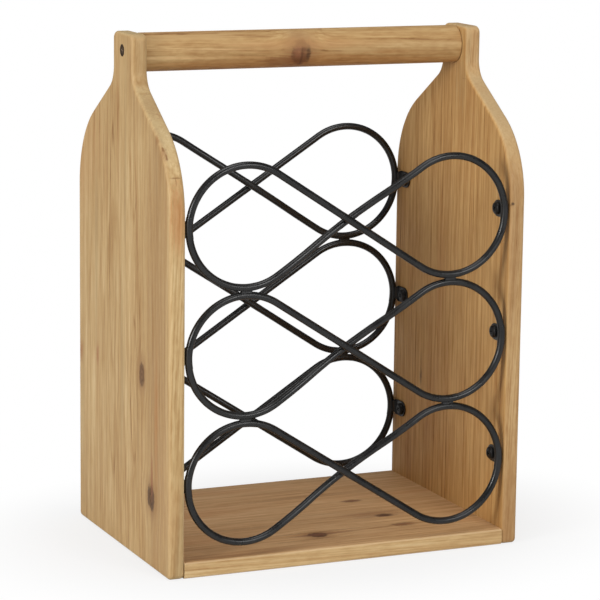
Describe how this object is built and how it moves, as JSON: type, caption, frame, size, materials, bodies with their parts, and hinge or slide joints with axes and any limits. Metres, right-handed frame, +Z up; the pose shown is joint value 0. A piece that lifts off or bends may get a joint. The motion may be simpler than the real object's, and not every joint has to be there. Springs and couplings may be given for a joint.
{
  "type": "bottle caddy",
  "caption": "Wooden bottle carrier: bottle-shaped side panels, base board and round handle, with stacked crossed-loop wire racks at front and back that cradle lying bottles.",
  "frame": {"origin": "centre of the footprint, at the height of the underside", "axes": "+X to the right seen from the front, +Y to the back, +Z up"},
  "size_m": [0.305, 0.212, 0.417],
  "materials": {
    "panel_wood": "clear satin over pale softwood",
    "base_wood": "clear satin over pale softwood",
    "handle_wood": "clear satin over pale softwood",
    "wire_coating": "satin black powder coat",
    "screw_finish": "black oxide",
    "pin_wood": "bare hardwood"
  },
  "bodies": {
    "root": {"left_side_panel": "panel_wood", "right_side_panel": "panel_wood", "base_board": "base_wood", "handle_dowel": "handle_wood", "front_wire_bottom": "wire_coating", "front_wire_middle": "wire_coating", "front_wire_top": "wire_coating", "back_wire_bottom": "wire_coating", "back_wire_middle": "wire_coating", "back_wire_top": "wire_coating", "screw_tab_front_left_bottom": "wire_coating", "screw_tab_front_left_middle": "wire_coating", "screw_tab_front_left_top": "wire_coating", "screw_tab_back_left_bottom": "wire_coating", "screw_tab_back_left_middle": "wire_coating", "screw_tab_back_left_top": "wire_coating", "screw_tab_front_right_bottom": "wire_coating", "screw_tab_front_right_middle": "wire_coating", "screw_tab_front_right_top": "wire_coating", "screw_tab_back_right_bottom": "wire_coating", "screw_tab_back_right_middle": "wire_coating", "screw_tab_back_right_top": "wire_coating", "stack_welds": "wire_coating", "crossing_welds": "wire_coating", "tab_welds": "wire_coating", "rack_screws": "screw_finish", "handle_screws": "screw_finish", "base_pins": "pin_wood"}
  },
  "joints": []
}
